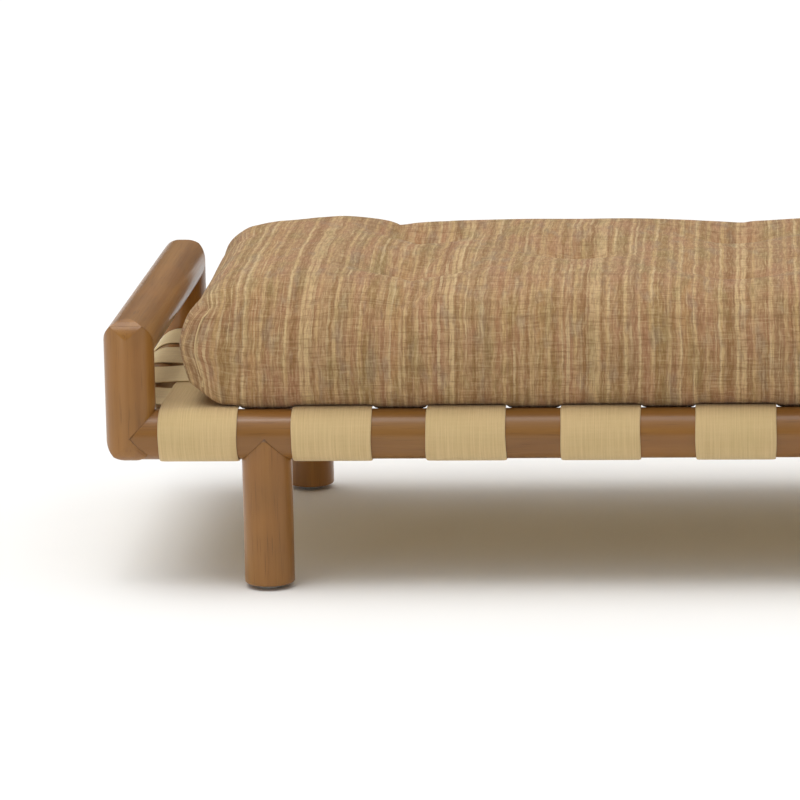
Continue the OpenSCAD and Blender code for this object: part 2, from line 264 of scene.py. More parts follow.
class Shader:
    """A node material under construction: calling it adds a node and wires its inputs."""

    def __init__(self, name):
        self.material = bpy.data.materials.new(name)
        self.material.use_nodes = True
        self.tree = self.material.node_tree
        self.tree.nodes.clear()
        self.bsdf = self("BsdfPrincipled")
        output = self("OutputMaterial")
        self.tree.links.new(self.bsdf.outputs[0], output.inputs["Surface"])

    def __call__(self, kind, settings=None, **inputs):
        node = self.tree.nodes.new("ShaderNode" + kind)
        for key, value in (settings or {}).items():
            setattr(node, key, value)
        for key, value in inputs.items():
            self.feed(node, key, value)
        return node

    def feed(self, node, key, value):
        """Links a socket or sets a number. Underscores stand for spaces, inN for number N."""
        place = int(key[2:]) if key.startswith("in") and key[2:].isdigit() else key.replace("_", " ")
        socket = node.inputs[place]
        if isinstance(value, bpy.types.Node):
            value = value.outputs[0]
        if isinstance(value, bpy.types.NodeSocket):
            self.tree.links.new(value, socket)
        else:
            socket.default_value = value

    def math(self, operation, *values):
        """A Math node of that operation."""
        inputs = {f"in{i}": v for i, v in enumerate(values)}
        return self("Math", {"operation": operation}, **inputs)

    def vector(self, x, y):
        """A vector from two numbers."""
        return self("CombineXYZ", None, X=x, Y=y)

    def mix(self, factor, first, second):
        """A colour mix of first and second by factor."""
        node = self("Mix", {"data_type": "RGBA"})
        for index, value in ((0, factor), (6, first), (7, second)):
            self.feed(node, f"in{index}", value)
        return node.outputs[2]

    def ramp(self, factor, stops):
        """A colour ramp through the stops, each a place from 0 to 1 and a linear colour."""
        node = self("ValToRGB", None, Fac=factor)
        elements = node.color_ramp.elements
        while len(elements) < len(stops):
            elements.new(1.0)
        for element, (place, tone) in zip(elements, sorted(stops, key=lambda s: s[0])):
            element.position = place
            element.color = (*tone, 1)
        return node.outputs[0]

    def noise(self, vector, scale, detail=2.0, roughness=0.5, distortion=0.0, dimensions="3D"):
        """Noise with its middle near one half."""
        settings = {"noise_dimensions": dimensions}
        key = "W" if dimensions == "1D" else "Vector"
        inputs = {key: vector, "Scale": scale, "Detail": detail, "Roughness": roughness}
        return self("TexNoise", settings, Distortion=distortion, **inputs).outputs[0]

    def spread(self, value, low, high, to_low=0.0, to_high=1.0):
        """Maps low..high to to_low..to_high and clamps."""
        node = self("MapRange", None, Value=value, From_Min=low, From_Max=high)
        self.feed(node, "To Min", to_low)
        self.feed(node, "To Max", to_high)
        return node.outputs[0]

    def tint(self, tone, field, low, high, at_low, at_high, shade):
        """Mixes shade into tone, by at_low where the field is low up to at_high where high."""
        return self.mix(self.spread(field, low, high, at_low, at_high), tone, rgba(shade))

    def stretched(self, vector, scale, detail=3, roughness=0.6):
        """Flat noise with its own scale along u and v, in cycles a metre."""
        place = self("Mapping", None, Vector=vector, Scale=(*scale, 1))
        return self.noise(place, 1.0, detail, roughness, dimensions="2D")

    def bump(self, height, distance, strength=1.0, base=None):
        """Gives the surface a bump of that height in metres, on top of a base normal."""
        node = self("Bump", None, Height=height, Distance=distance, Strength=strength)
        if base is not None:
            self.feed(node, "Normal", base)
        self.feed(self.bsdf, "Normal", node)

    def set(self, **inputs):
        """Sets sockets of the surface shader."""
        for key, value in inputs.items():
            self.feed(self.bsdf, key, value)


def rgba(tone):
    """The colour with full opacity."""
    return (*tone, 1)


def shown(red, green, blue):
    """The linear colour of 0 to 255 display numbers."""
    return tuple(linear(c / 255) for c in (red, green, blue))


# Each kind of bar: the way its grain runs and how far its tone goes to the darkest, which on the rails is
# partly a darker wood and partly painted shade for the shade under the mattress.
BARS = {
    "post": ("Z", 0.07),
    "leg": ("Z", 0.0),
    "top_bar": ("Y", 0.0),
    "end_rail": ("Y", 0.25),
    "side_rail": ("X", 0.30),
}
GRAIN_TURN = {
    "X": (0, 0, 0),
    "Y": (0, 0, math.pi / 2),
    "Z": (0, math.pi / 2, 0),
}


def lacquered_wood(name, axis, seed, depth, s):
    """Brown hardwood under clear lacquer, its grain along axis, darkened by depth, which is partly a darker
    wood and partly painted shade.
    """
    m = Shader(name)
    place = m("TexCoord").outputs["Object"]
    turned = m("Mapping", None, Vector=place, Rotation=GRAIN_TURN[axis])
    shifted = m("Mapping", None, Vector=turned, Location=(seed * 1.7, seed * 0.9, seed * 2.3))
    bands = m("Mapping", None, Vector=shifted, Scale=(0.9, 12, 12))
    flame = m.noise(bands, 1.6, 4, 0.5, 0.8)
    streaks = m("Mapping", None, Vector=shifted, Scale=(2.2, 90, 90))
    fine = m.noise(streaks, 1.5, 4, 0.6, 0.2)
    pores = m("Mapping", None, Vector=shifted, Scale=(16, 560, 560))
    pore = m.spread(m.noise(pores, 1.0, 2, 0.5), 0.60, 0.72)
    cloud = m.noise(shifted, 7, 3, 0.55)
    tone = m.ramp(m.spread(flame, 0.25, 0.75), [
        (0.0, s.dark_wood),
        (0.45, [a * 0.5 + b * 0.5 for a, b in zip(s.light_wood, s.dark_wood)]),
        (1.0, s.light_wood),
    ])
    tone = m.tint(tone, fine, 0.35, 0.7, 0.0, 0.3, s.dark_wood)
    tone = m.tint(tone, cloud, 0.38, 0.66, 0.0, 0.35, shown(176, 116, 48))
    tone = m.mix(m.math("MULTIPLY", pore, 0.4), tone, rgba(s.pore_wood))
    # Partly painted shade: mixes towards dark brown by depth, a darker wood on the rails and also the shade
    # they lie in under the mattress.
    tone = m.mix(depth, tone, rgba(shown(88, 52, 20)))
    rough = m.spread(fine, 0.3, 0.7, 0.34, 0.48)
    m.set(Base_Color=tone, Roughness=rough, Coat_Weight=0.42, Coat_Roughness=0.16, Coat_IOR=1.42)
    m.set(Specular_IOR_Level=0.35)
    eased = m("Bevel", {"samples": 6}, Radius=EASED_EDGE)
    m.bump(m.math("ADD", m.math("MULTIPLY", pore, -0.6), fine), 0.1 * MM, 0.3, eased)
    return m.material


def raw_dowel(s):
    """Pale unfinished beech with fine long grain."""
    m = Shader("dowel_beech")
    place = m("TexCoord").outputs["Object"]
    grain = m.noise(m("Mapping", None, Vector=place, Scale=(300, 60, 60)), 1.0, 3)
    tone = m.ramp(grain, [(0.3, [c * 0.72 for c in s.dowel_wood]), (0.7, s.dowel_wood)])
    m.set(Base_Color=tone, Roughness=0.62)
    return m.material


def plated_steel(name, tone, roughness, cycles):
    """Metal with a little cloudiness and fine scratches."""
    m = Shader(name)
    place = m("TexCoord").outputs["Object"]
    cloud = m.noise(place, cycles, 4, 0.6)
    shade = m.ramp(cloud, [(0.3, [c * 0.62 for c in tone]), (0.7, tone)])
    rough = m.spread(cloud, 0.3, 0.7, roughness - 0.1, roughness + 0.1)
    m.set(Base_Color=shade, Metallic=1.0, Roughness=rough)
    m.bump(m.noise(place, cycles * 3, 2), 0.05 * MM, 0.3)
    return m.material


def moulded_glide(s):
    """Pale slightly translucent plastic with a scuffed foot."""
    m = Shader("glide_plastic")
    place = m("TexCoord").outputs["Object"]
    scuff = m.noise(place, 260, 3, 0.6)
    shade = m.ramp(scuff, [(0.3, [c * 0.86 for c in s.glide]), (0.65, s.glide)])
    m.set(Base_Color=shade, Roughness=m.spread(scuff, 0.3, 0.7, 0.38, 0.6), Subsurface_Weight=0.12)
    m.set(Subsurface_Scale=4 * MM)
    m.bump(scuff, 0.1 * MM, 0.3)
    return m.material


def webbing_cloth(name, straw, s):
    """Webbing in plain weave: warp cords along v, weft ribs across."""
    m = Shader(name)
    uv = m("UVMap", {"uv_map": "cloth"}).outputs[0]
    axes = m("SeparateXYZ", None, Vector=uv)
    across, along = axes.outputs[0], axes.outputs[1]
    wander = m.math("MULTIPLY", m.noise(uv, 60, 2, dimensions="2D"), 0.9)
    cords = m.math("ADD", m.math("MULTIPLY", across, 2 * math.pi / s.cord), wander)
    ribs = m.math("ADD", m.math("MULTIPLY", along, 2 * math.pi / s.rib), wander)
    warp, weft = m.math("SINE", cords), m.math("SINE", ribs)
    weave = m.math("MULTIPLY", warp, weft)
    height = m.math("ADD", m.math("MULTIPLY", weave, 0.5), m.math("MULTIPLY", m.math("ABSOLUTE", warp), 0.4))
    thread = m.stretched(uv, (520, 9))
    pick = m.stretched(uv, (14, 330))
    cloud = m.noise(m("TexCoord").outputs["Object"], 14, 3, 0.55)
    tone = m.tint(rgba(straw), thread, 0.32, 0.68, 0.0, 0.34, s.straw_dark_and_shade)
    tone = m.tint(tone, pick, 0.36, 0.7, 0.0, 0.26, shown(226, 200, 150))
    # Painted shade: the weave's hollows, where its height is low, are darkened towards the dark straw.
    tone = m.tint(tone, height, -0.5, 0.4, 0.38, 0.0, s.straw_dark_and_shade)
    tone = m.tint(tone, cloud, 0.4, 0.7, 0.0, 0.18, shown(196, 176, 118))
    m.set(Base_Color=tone, Roughness=0.82, Sheen_Weight=0.18, Sheen_Roughness=0.5, Specular_IOR_Level=0.25)
    m.bump(m.math("ADD", height, m.math("MULTIPLY", thread, 0.8)), 0.5 * MM, 0.6)
    return m.material


COVER_SHADE = 0.12       # how far the whole cover is darkened
STRIPE_SHARE = 0.62      # how much of a stripe's colour shows
STRIPE_FEATHER = 0.006   # softness of a stripe's edges as a share of the repeat


def stripes_of(s):
    """Each stripe's centre and half width as shares of the repeat, and its colour."""
    whole = s.repeat / MM
    return [(place / whole, width / 2 / whole, shown(*tone)) for place, width, tone in STRIPES]


# Flecks of the cover in the order they are laid: cycles a metre along u and v, noise detail,
# then for each tint the low and high of the noise, its share at each, and display colour.
DRIFT = (
    ((26, 9), 3, ((0.34, 0.48, 0.45, 0.0, (186, 136, 104)), (0.54, 0.68, 0.0, 0.4, (160, 142, 92)))),
    ((38, 14), 3, ((0.56, 0.7, 0.0, 0.4, (158, 140, 118)),)),
)
DASH_TINTS = ((0.30, 0.5, 0.42, 0.0, (130, 92, 56)), (0.52, 0.72, 0.0, 0.36, (232, 202, 154)))
SLUB_TINTS = ((0.30, 0.46, 0.36, 0.0, (130, 94, 58)), (0.58, 0.74, 0.0, 0.3, (226, 198, 152)))


def striped_cover(s):
    """Handwoven slubby stripe. u runs along the bed, so the stripes cross it."""
    m = Shader("mattress_stripe")
    uv = m("UVMap", {"uv_map": "cloth"}).outputs[0]
    axes = m("SeparateXYZ", None, Vector=uv)
    u, v = axes.outputs[0], axes.outputs[1]

    def shifted(base, scale, reach):
        """The base moved by up to half the reach either way, by a noise of that scale."""
        noise = m.stretched(uv, scale, 2, 0.55)
        return m.math("ADD", base, m.math("MULTIPLY", m.math("SUBTRACT", noise, 0.5), reach))

    def tinted(tone, noise, tints):
        """The tone with each tint laid on it in turn."""
        for low, high, at_low, at_high, shade in tints:
            tone = m.tint(tone, noise, low, high, at_low, at_high, shown(*shade))
        return tone

    moved = shifted(u, (2.2, 5.5), 10 * MM)
    moved = shifted(moved, (5, 22), 3.5 * MM)
    moved = shifted(moved, (60, 130), 1.8 * MM)
    turns = m.math("DIVIDE", m.math("ADD", moved, s.stripe_shift + 10 * s.repeat), s.repeat)
    tone = rgba(shown(*GROUND))
    for centre, half, shade in stripes_of(s):
        apart = m.math("PINGPONG", m.math("SUBTRACT", turns, centre), 0.5)
        tone = m.tint(tone, apart, half, half + STRIPE_FEATHER, STRIPE_SHARE, 0.0, shade)
    for scale, detail, tints in DRIFT:
        tone = tinted(tone, m.stretched(uv, scale, detail, 0.55), tints)
    fade = m.spread(m.stretched(uv, (30, 7), 2, 0.55), 0.38, 0.58)
    thin = m.noise(moved, 150, 2, 0.5, dimensions="1D")
    pale = m.math("MULTIPLY", m.spread(thin, 0.56, 0.64), fade)
    tone = m.mix(m.math("MULTIPLY", pale, 0.6), tone, rgba(shown(232, 204, 156)))
    dark = m.math("MULTIPLY", m.spread(thin, 0.40, 0.34), m.math("SUBTRACT", 1.0, fade))
    tone = m.mix(m.math("MULTIPLY", dark, 0.4), tone, rgba(shown(136, 100, 62)))
    dash = m.stretched(m.vector(moved, v), (330, 40))
    tone = tinted(tone, dash, DASH_TINTS)
    slub = m.stretched(uv, (40, 300), 3, 0.55)
    tone = tinted(tone, slub, SLUB_TINTS)
    row = m.noise(v, 60, 3, 0.6, dimensions="1D")
    tone = m.tint(tone, row, 0.36, 0.46, 0.2, 0.0, shown(132, 96, 60))
    tone = m.mix(COVER_SHADE, tone, (0, 0, 0, 1))
    m.set(Base_Color=tone, Roughness=0.93, Sheen_Weight=0.12, Sheen_Roughness=0.5)
    m.set(Specular_IOR_Level=0.15)
    threads = m.math("SINE", m.math("MULTIPLY", moved, 2 * math.pi / s.thread))
    picks = m.math("SINE", m.math("MULTIPLY", v, 2 * math.pi / s.thread))
    cloth = m.math("MULTIPLY", m.math("MULTIPLY", threads, picks), 0.3)
    m.bump(m.math("ADD", m.math("ADD", cloth, slub), dash), 0.9 * MM, 0.7)
    return m.material


# ---------------------------------------------------------------- meshes


def volume_of(points, quads):
    """Signed volume of a closed surface: a sixth of the triple products of its triangles."""
    a, b, c, d = (points[quads[:, k]] for k in range(4))
    return float((a * (np.cross(b, c) + np.cross(c, d))).sum() / 6)


def mesh_piece(name, points, quads, uv=None, smooth=True):
    """An object from an array of points and an array of quads, with per-corner cloth UVs.

    The quads all turn one way; where they enclose a negative volume they are reversed.
    """
    if volume_of(points, quads) < 0:
        quads = quads[:, ::-1]
        uv = None if uv is None else uv[:, ::-1]
    mesh = bpy.data.meshes.new(name)
    mesh.from_pydata(points.tolist(), [], quads.tolist())
    if uv is not None:
        layer = mesh.uv_layers.new(name="cloth")
        layer.data.foreach_set("uv", np.asarray(uv, np.float32).ravel())
    mesh.polygons.foreach_set("use_smooth", np.full(len(mesh.polygons), smooth))
    mesh.update()
    piece = bpy.data.objects.new(name, mesh)
    bpy.context.scene.collection.objects.link(piece)
    return piece


def dress(piece, material):
    """Gives the piece that material only."""
    piece.data.materials.clear()
    piece.data.materials.append(material)


def dress_nodes(names, material):
    """Gives each named CAD node that material only."""
    for name in names:
        dress(NODES[name], material)


def smooth_step(t):
    """0 to 1 with level ends: three t squared less two t cubed."""
    t = np.clip(t, 0, 1)
    return t * t * (3 - 2 * t)


def tube_grid(rings, around):
    """Quads of a closed tube of so many rings, each with so many points, and its end fans.

    The end caps are strips across the ring, so a flat ring is closed without a pole.
    """
    i, j = np.meshgrid(np.arange(rings - 1), np.arange(around), indexing="ij")
    k = (j + 1) % around
    side = np.stack([i * around + j, i * around + k, (i + 1) * around + k, (i + 1) * around + j], -1)
    half = around // 2
    a = np.arange(half - 1)
    cap = np.stack([a, a + 1, around - 2 - a, around - 1 - a], -1)
    last = (rings - 1) * around
    return side.reshape(-1, 4), cap[:, ::-1], cap + last


# ---------------------------------------------------------------- webbing


def weave_levels(stations, crossings, sides, reach):
    """Height of a strap about the webbing's middle level at each station.

    It is level over each crossed strap, at plus or minus the weave's rise, and passes
    between levels on half a cosine wave. At both rails the level is nothing.
    """
    knots, values = [-reach + BAR_R / 4], [0.0]
    for centre, side in zip(crossings, sides):
        knots += [centre - STRAP_W / 2, centre + STRAP_W / 2]
        values += [side * WEAVE_RISE] * 2
    knots.append(reach - BAR_R / 4)
    values.append(0.0)
    knots, values = np.array(knots), np.array(values)
    right = np.clip(np.searchsorted(knots, stations), 1, len(knots) - 1)
    t = np.clip((stations - knots[right - 1]) / (knots[right] - knots[right - 1]), 0, 1)
    return values[right - 1] + (values[right] - values[right - 1]) * (1 - np.cos(np.pi * t)) / 2


def strap_path(crossings, sides, reach):
    """Middle line of a strap in its own plane, with unit normals.

    An arc round the low rail, the woven span and an arc round the high rail. Along an
    arc the point is the rail's axis plus the radius times (sine, cosine) of the angle.
    """
    radius = BAR_R + STRAP_T / 2
    turn = np.linspace(WRAP_TURN, 0, WRAP_POINTS, endpoint=False)
    q = np.linspace(-reach, reach, int(2 * reach / SPAN_STEP))
    z = STRAP_Z + weave_levels(q, crossings, sides, reach)
    slope = np.gradient(z, q)
    tilt = np.hypot(1, slope)
    low = np.stack([-reach - radius * np.sin(turn), RAIL_Z + radius * np.cos(turn)], -1)
    low_normal = np.stack([-np.sin(turn), np.cos(turn)], -1)
    mid = np.stack([q, z], -1)
    mid_normal = np.stack([-slope / tilt, 1 / tilt], -1)
    high = (low * [-1, 1])[::-1]
    high_normal = (low_normal * [-1, 1])[::-1]
    return np.concatenate([low, mid, high]), np.concatenate([low_normal, mid_normal, high_normal])


def strap_section(across=26):
    """Outline of a strap: two flat faces that meet in rounded edges, as (across, thick, place).

    The faces' points follow a cosine spacing, so the edges get most of them. The thickness
    is the strap's times the square root of one less the thirtieth power of the place across.
    """
    t = np.cos(np.linspace(0, np.pi, across))
    thick = STRAP_T / 2 * (1 - np.abs(t) ** 30) ** 0.5
    half = STRAP_W / 2
    over = np.stack([t * half, thick, t * half], -1)
    under = np.stack([-t * half, -thick, -t * half], -1)[1:-1]
    return np.concatenate([over, under])


def weave_strap(node, centre, crossings, sides, reach, along, s, seed):
    """One strap: its outline carried along its path, closed at both tacked ends."""
    line, normal = strap_path(crossings, sides, reach)
    outline = strap_section()
    rings, around = len(line), len(outline)
    step = np.linalg.norm(np.diff(line, axis=0), axis=1)
    run = np.concatenate([[0], np.cumsum(step)])
    wander = s.edge_drift * (np.sin(run * 31 + seed * 2.1) + 0.6 * np.sin(run * 83 + seed * 5.3))
    rim = np.sign(outline[:, 0]) * (np.abs(outline[:, 0]) / (STRAP_W / 2)) ** 6
    side = outline[None, :, 0] + wander[:, None] * rim[None, :]
    plane = line[:, None, :] + normal[:, None, :] * outline[None, :, 1, None]
    points = np.empty((rings, around, 3))
    if along == "x":
        points[..., 0], points[..., 1] = plane[..., 0], centre + side
    else:
        points[..., 0], points[..., 1] = centre - side, plane[..., 0]
    points[..., 2] = plane[..., 1]
    wall, cap_low, cap_high = tube_grid(rings, around)
    quads = np.concatenate([wall, cap_low, cap_high])
    cloth = np.stack(np.broadcast_arrays(outline[None, :, 2] + seed, run[:, None] + seed), -1)
    uv = cloth.reshape(-1, 2)[quads]
    piece = mesh_piece(node + "_webbing", points.reshape(-1, 3), quads, uv)
    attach(piece, "frame")
    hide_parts(node)
    return piece, float(run[-1])


# ---------------------------------------------------------------- mattress


def tuft_places():
    """Where the twine runs through the mattress: outer rows in even columns, middle in odd."""
    columns = np.linspace(TWINE_LOW.x + TWINE_R, TWINE_HIGH.x - TWINE_R, TUFT_COLUMNS)
    row = TWINE_HIGH.y - TWINE_R
    rows = [(-row, row) if i % 2 == 0 else (0.0,) for i in range(TUFT_COLUMNS)]
    return np.array([(x, y) for x, ys in zip(columns, rows) for y in ys])


def block_lattice(cells):
    """Surface of a block of nx by ny by nz cells: lattice points, quads and each quad's side.

    Sides are numbered 0 bottom, 1 top, 2 front, 3 back, 4 head end and 5 foot end.
    """
    nx, ny, nz = cells
    i, j, k = np.meshgrid(*(np.arange(n + 1) for n in cells), indexing="ij")
    shell = (i % nx == 0) | (j % ny == 0) | (k % nz == 0)
    ids = np.full(shell.shape, -1)
    ids[shell] = np.arange(shell.sum())

    def side(grid, flip):
        """Quads of one side's grid of points, turned over if flip is set."""
        quads = np.stack([grid[:-1, :-1], grid[1:, :-1], grid[1:, 1:], grid[:-1, 1:]], -1)
        quads = quads.reshape(-1, 4)
        return quads[:, ::-1] if flip else quads

    sides = [
        side(ids[:, :, 0], True), side(ids[:, :, nz], False),
        side(ids[:, 0, :], False), side(ids[:, ny, :], True),
        side(ids[0, :, :], True), side(ids[nx, :, :], False),
    ]
    number = np.concatenate([np.full(len(q), n) for n, q in enumerate(sides)])
    return np.argwhere(shell), np.concatenate(sides), number


def unrolled(flat, quads, number, size):
    """Cloth coordinates of every corner: the top's own x and y, carried on down each side.

    On the long sides v goes on past the edge by the drop below the top, and on the ends
    u does, so the cloth is cut only along the four upright corners.
    """
    corner = flat[quads]
    x, y = corner[..., 0], corner[..., 1]
    drop = size[2] - corner[..., 2]
    u, v = x.copy(), y.copy()
    for n, sign in ((2, -1), (3, 1)):
        mask = number == n
        v[mask] = sign * (size[1] / 2 + drop[mask])
    for n, sign in ((4, -1), (5, 1)):
        mask = number == n
        u[mask] = sign * (size[0] / 2 + drop[mask])
    return np.stack([u, v], -1)


def rounded_block(flat, size, foot, top):
    """A block's surface points rounded: the nearest point of the inner block, pushed out
    by the radius along the direction from there to the point. The radius goes from foot
    to top with the height on a smooth step."""
    half = np.array(size) / 2
    centred = flat - [0, 0, half[2]]
    radius = (foot + (top - foot) * smooth_step(flat[:, 2] / size[2]))[:, None]
    inner = np.clip(centred, -(half - radius), half - radius)
    out = centred - inner
    far = np.linalg.norm(out, axis=1, keepdims=True)
    return inner + out / np.maximum(far, 1e-9) * radius + [0, 0, half[2]]


def bed_level(x, y):
    """Height of what lies under the mattress. Over the platform it is the woven tops.

    Over a rail it is the round back of the bar, a strap's thickness higher on a strap. In
    the open squares between a rail and the outer strap along the bed, the filling sags.
    """
    across = np.abs(x[:, None] - np.array([middle(n).x for n in CROSS])).min(1)
    off_strap = smooth_step((across - STRAP_W / 2 + SAG_RUN / 2) / SAG_RUN)
    skin = STRAP_T * (1 - off_strap)
    outward = np.clip(np.abs(y) - RAIL_Y, 0, BAR_R / 2)
    back = RAIL_Z + np.sqrt((BAR_R + skin) ** 2 - outward ** 2)
    over_rail = smooth_step((np.abs(y) - RAIL_Y) / (BAR_R / 2) + 1.5)
    open_y = smooth_step((np.abs(y) - OPEN_FROM) / OPEN_RUN) * (1 - over_rail)
    sag = OPEN_SAG * open_y * off_strap
    return BED_LOW.z + over_rail * (back - BED_LOW.z) - sag


def soften(points, size, s):
    """The hand-filled shape: a top that falls towards its edges, dimples at the tufts,
    a fold along the bed through each tuft, a shallow valley across the middle of the bed,
    soft swells, sides that bulge, and sides and ends that tuck under.

    The top's fall is a smooth step in from each end and a fourth power across. A dimple
    is a Gaussian of the distance to its tuft with a sharper one inside it, and the swells
    are products of slow sines.
    """
    x, y, z = points.T.copy()
    half_l, half_w = size[0] / 2, size[1] / 2
    share = np.clip(z / size[2], 0, 1)
    lift = smooth_step((share - 0.3) / 0.7)
    inset = half_l - np.abs(x)
    fall = s.end_drop * (1 - smooth_step(inset / s.end_fall))
    fall = fall + s.side_drop * (np.abs(y) / half_w) ** 4
    broad = np.sin(23 * x + 1.3) * np.sin(13 * y + 0.4)
    swell = BROAD_SWELL * broad + FINE_SWELL * np.sin(41 * x - 17 * y + 0.6)
    fall = fall + s.valley * np.exp(-(x / VALLEY_R) ** 2)
    near = np.hypot(x[:, None] - TUFTS[:, 0], y[:, None] - TUFTS[:, 1])
    dimple = np.exp(-((near / s.tuft_spread) ** 2))
    dimple = dimple + 0.8 * np.exp(-((near / (0.3 * s.tuft_spread)) ** 2))
    along, across = (x[:, None] - TUFTS[:, 0]) / FOLD_L, (y[:, None] - TUFTS[:, 1]) / FOLD_W
    fold = np.exp(-along ** 2 - across ** 2)
    z = z + lift * (swell - fall - s.tuft_depth * dimple.sum(1) - s.fold * fold.sum(1))
    tuck = 1 - smooth_step(inset / s.end_tuck)
    z += s.end_lift * tuck ** 1.5 * (1 - smooth_step(share / 0.75))
    belly = np.sin(np.pi * share ** 1.1)
    wave = 1 + 0.35 * np.sin(9 * x + 0.7) + 0.25 * np.sin(26 * x)
    near_side = smooth_step((np.abs(y) - half_w + EDGE_BAND) / EDGE_BAND)
    y = y + np.sign(y) * near_side * belly * s.side_bulge * wave
    out = smooth_step((np.abs(x) - half_l + EDGE_BAND) / EDGE_BAND)
    lean = END_LEAN * (1 + y / half_w) / 2
    corner = np.stack([np.abs(x) - half_l + SEAM_IN, np.abs(y) - half_w, z - size[2] + PINCH_R], -1)
    pinch = s.pinch * np.exp(-(np.linalg.norm(corner, axis=1) / PINCH_R) ** 2)
    x = x + np.sign(x) * (out * (belly * s.end_bulge + lean) - pinch)
    foot = smooth_step((np.abs(y) - half_w + EDGE_BAND) / EDGE_BAND) * (1 - smooth_step(share / FOOT_SHARE))
    y = y - np.sign(y) * (pinch + foot * s.side_tuck)
    return np.stack([x, y, z], -1)


def along_lines(half, cell):
    """Places of the cover's grid lines along the bed: even cells between the edges of the
    cross straps, with one narrow cell over each edge for the drop off it."""
    edges = np.array([middle(n).x for n in CROSS])[:, None] + np.array([-1, 1]) * STRAP_W / 2
    knots = np.sort(np.concatenate([(edges + side * SAG_RUN / 2).ravel() for side in (-1, 1)]))
    knots = np.concatenate([[-half], knots[np.abs(knots) < half - cell], [half]])
    runs = [
        np.linspace(a, b, max(round((b - a) / cell), 1), endpoint=False)
        for a, b in zip(knots[:-1], knots[1:])
    ]
    return np.concatenate([*runs, [half]])


STUFFING = {
    "quality": 6,
    "mass": 0.35,
    "tension_stiffness": 18,
    "compression_stiffness": 18,
    "shear_stiffness": 6,
    "bending_stiffness": 0.6,
    "vertex_group_mass": "held",
    "use_pressure": True,
    "uniform_pressure_force": 4,
}


def inflate(piece, pinned, s):
    """Runs cloth with air pressure inside, with the pinned points held, and keeps the
    result. No point moves further than the settle distance."""
    group = piece.vertex_groups.new(name="held")
    for weight in np.unique(pinned[pinned > 0]):
        group.add(np.flatnonzero(pinned == weight).tolist(), float(weight), "REPLACE")
    cloth = piece.modifiers.new("stuffing", "CLOTH")
    for rule, value in STUFFING.items():
        setattr(cloth.settings, rule, value)
    cloth.settings.effector_weights.gravity = 0
    cloth.collision_settings.use_collision = False
    cloth.point_cache.frame_start, cloth.point_cache.frame_end = 1, s.frames
    scene = bpy.context.scene
    for number in range(1, s.frames + 1):
        scene.frame_set(number)
    count = len(piece.data.vertices)
    start = np.empty(count * 3)
    piece.data.vertices.foreach_get("co", start)
    made = piece.evaluated_get(bpy.context.evaluated_depsgraph_get())
    end = np.empty(count * 3)
    made.data.vertices.foreach_get("co", end)
    start, end = start.reshape(-1, 3), end.reshape(-1, 3)
    move = end - start
    far = np.linalg.norm(move, axis=1, keepdims=True)
    move *= np.tanh(far / s.settle) * s.settle / np.maximum(far, 1e-9)
    piece.modifiers.remove(cloth)
    piece.vertex_groups.clear()
    scene.frame_set(1)
    return start + move


TUFTS = tuft_places()


def settle(points):
    """Lets the underside down onto what it lies on.

    Heights over the block's foot are pressed down by a smooth step of the height over the
    press band. What is low then follows the level below it, fading out over the settle
    band.
    """
    level = bed_level(points[:, 0], points[:, 1]) + REST
    height = np.maximum(points[:, 2] - BED_LOW.z - REST, 0)
    pressed = height * smooth_step(height / PRESS_BAND)
    fade = 1 - smooth_step(pressed / SETTLE_BAND)
    settled = points.copy()
    settled[:, 2] = BED_LOW.z + REST + pressed + fade * (level - BED_LOW.z - REST)
    return settled


def build_core(cover, quads):
    """The filling: the cover's own surface moved in by a set depth along its normals."""
    shell = cover.data
    normals = np.empty(len(shell.vertices) * 3)
    shell.vertices.foreach_get("normal", normals)
    points = np.empty(len(shell.vertices) * 3)
    shell.vertices.foreach_get("co", points)
    inner = (points - normals * CORE_DEPTH).reshape(-1, 3)
    piece = mesh_piece("mattress_core_filling", inner, quads)
    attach(piece, "mattress")
    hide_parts("mattress_core")
    return piece


def build_cover(s):
    """The stuffed cover: a rounded lattice block, softened, inflated and subdivided.

    Returns the piece, its quads, and its points with their lattice places and cell counts.
    """
    start_inset = np.array([s.side_bulge, s.side_bulge, 0])
    size = np.array(BED_HIGH - BED_LOW) - 2 * start_inset
    size[2] -= REST + s.swell
    lines = along_lines(size[0] / 2, s.cell)
    cells = np.array([len(lines) - 1, *np.round(size[1:] / s.cell).astype(int)])
    lattice, quads, number = block_lattice(cells)
    flat = lattice / cells * size - [size[0] / 2, size[1] / 2, 0]
    flat[:, 0] = lines[lattice[:, 0]]
    uv = unrolled(flat, quads, number, size)
    points = soften(rounded_block(flat, size, s.foot_round, s.top_round), size, s)
    points[:, 2] += BED_LOW.z + REST
    piece = mesh_piece("mattress_cover_cloth", points, quads, uv)
    apart = points[:, None, :2] - TUFTS
    near = np.hypot(apart[..., 0], apart[..., 1]).min(1)
    top = lattice[:, 2] == cells[2]
    pinned = np.where(top & (near < PIN_R), 1.0, 0.0)
    pinned[lattice[:, 2] == 0] = 1.0
    points = inflate(piece, pinned, s)
    points = settle(points)
    piece.data.vertices.foreach_set("co", points.ravel())
    piece.data.update()
    finer = piece.modifiers.new("finer", "SUBSURF")
    finer.levels = finer.render_levels = 1
    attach(piece, "mattress")
    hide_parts("mattress_cover")
    return piece, quads, (points, lattice, cells)


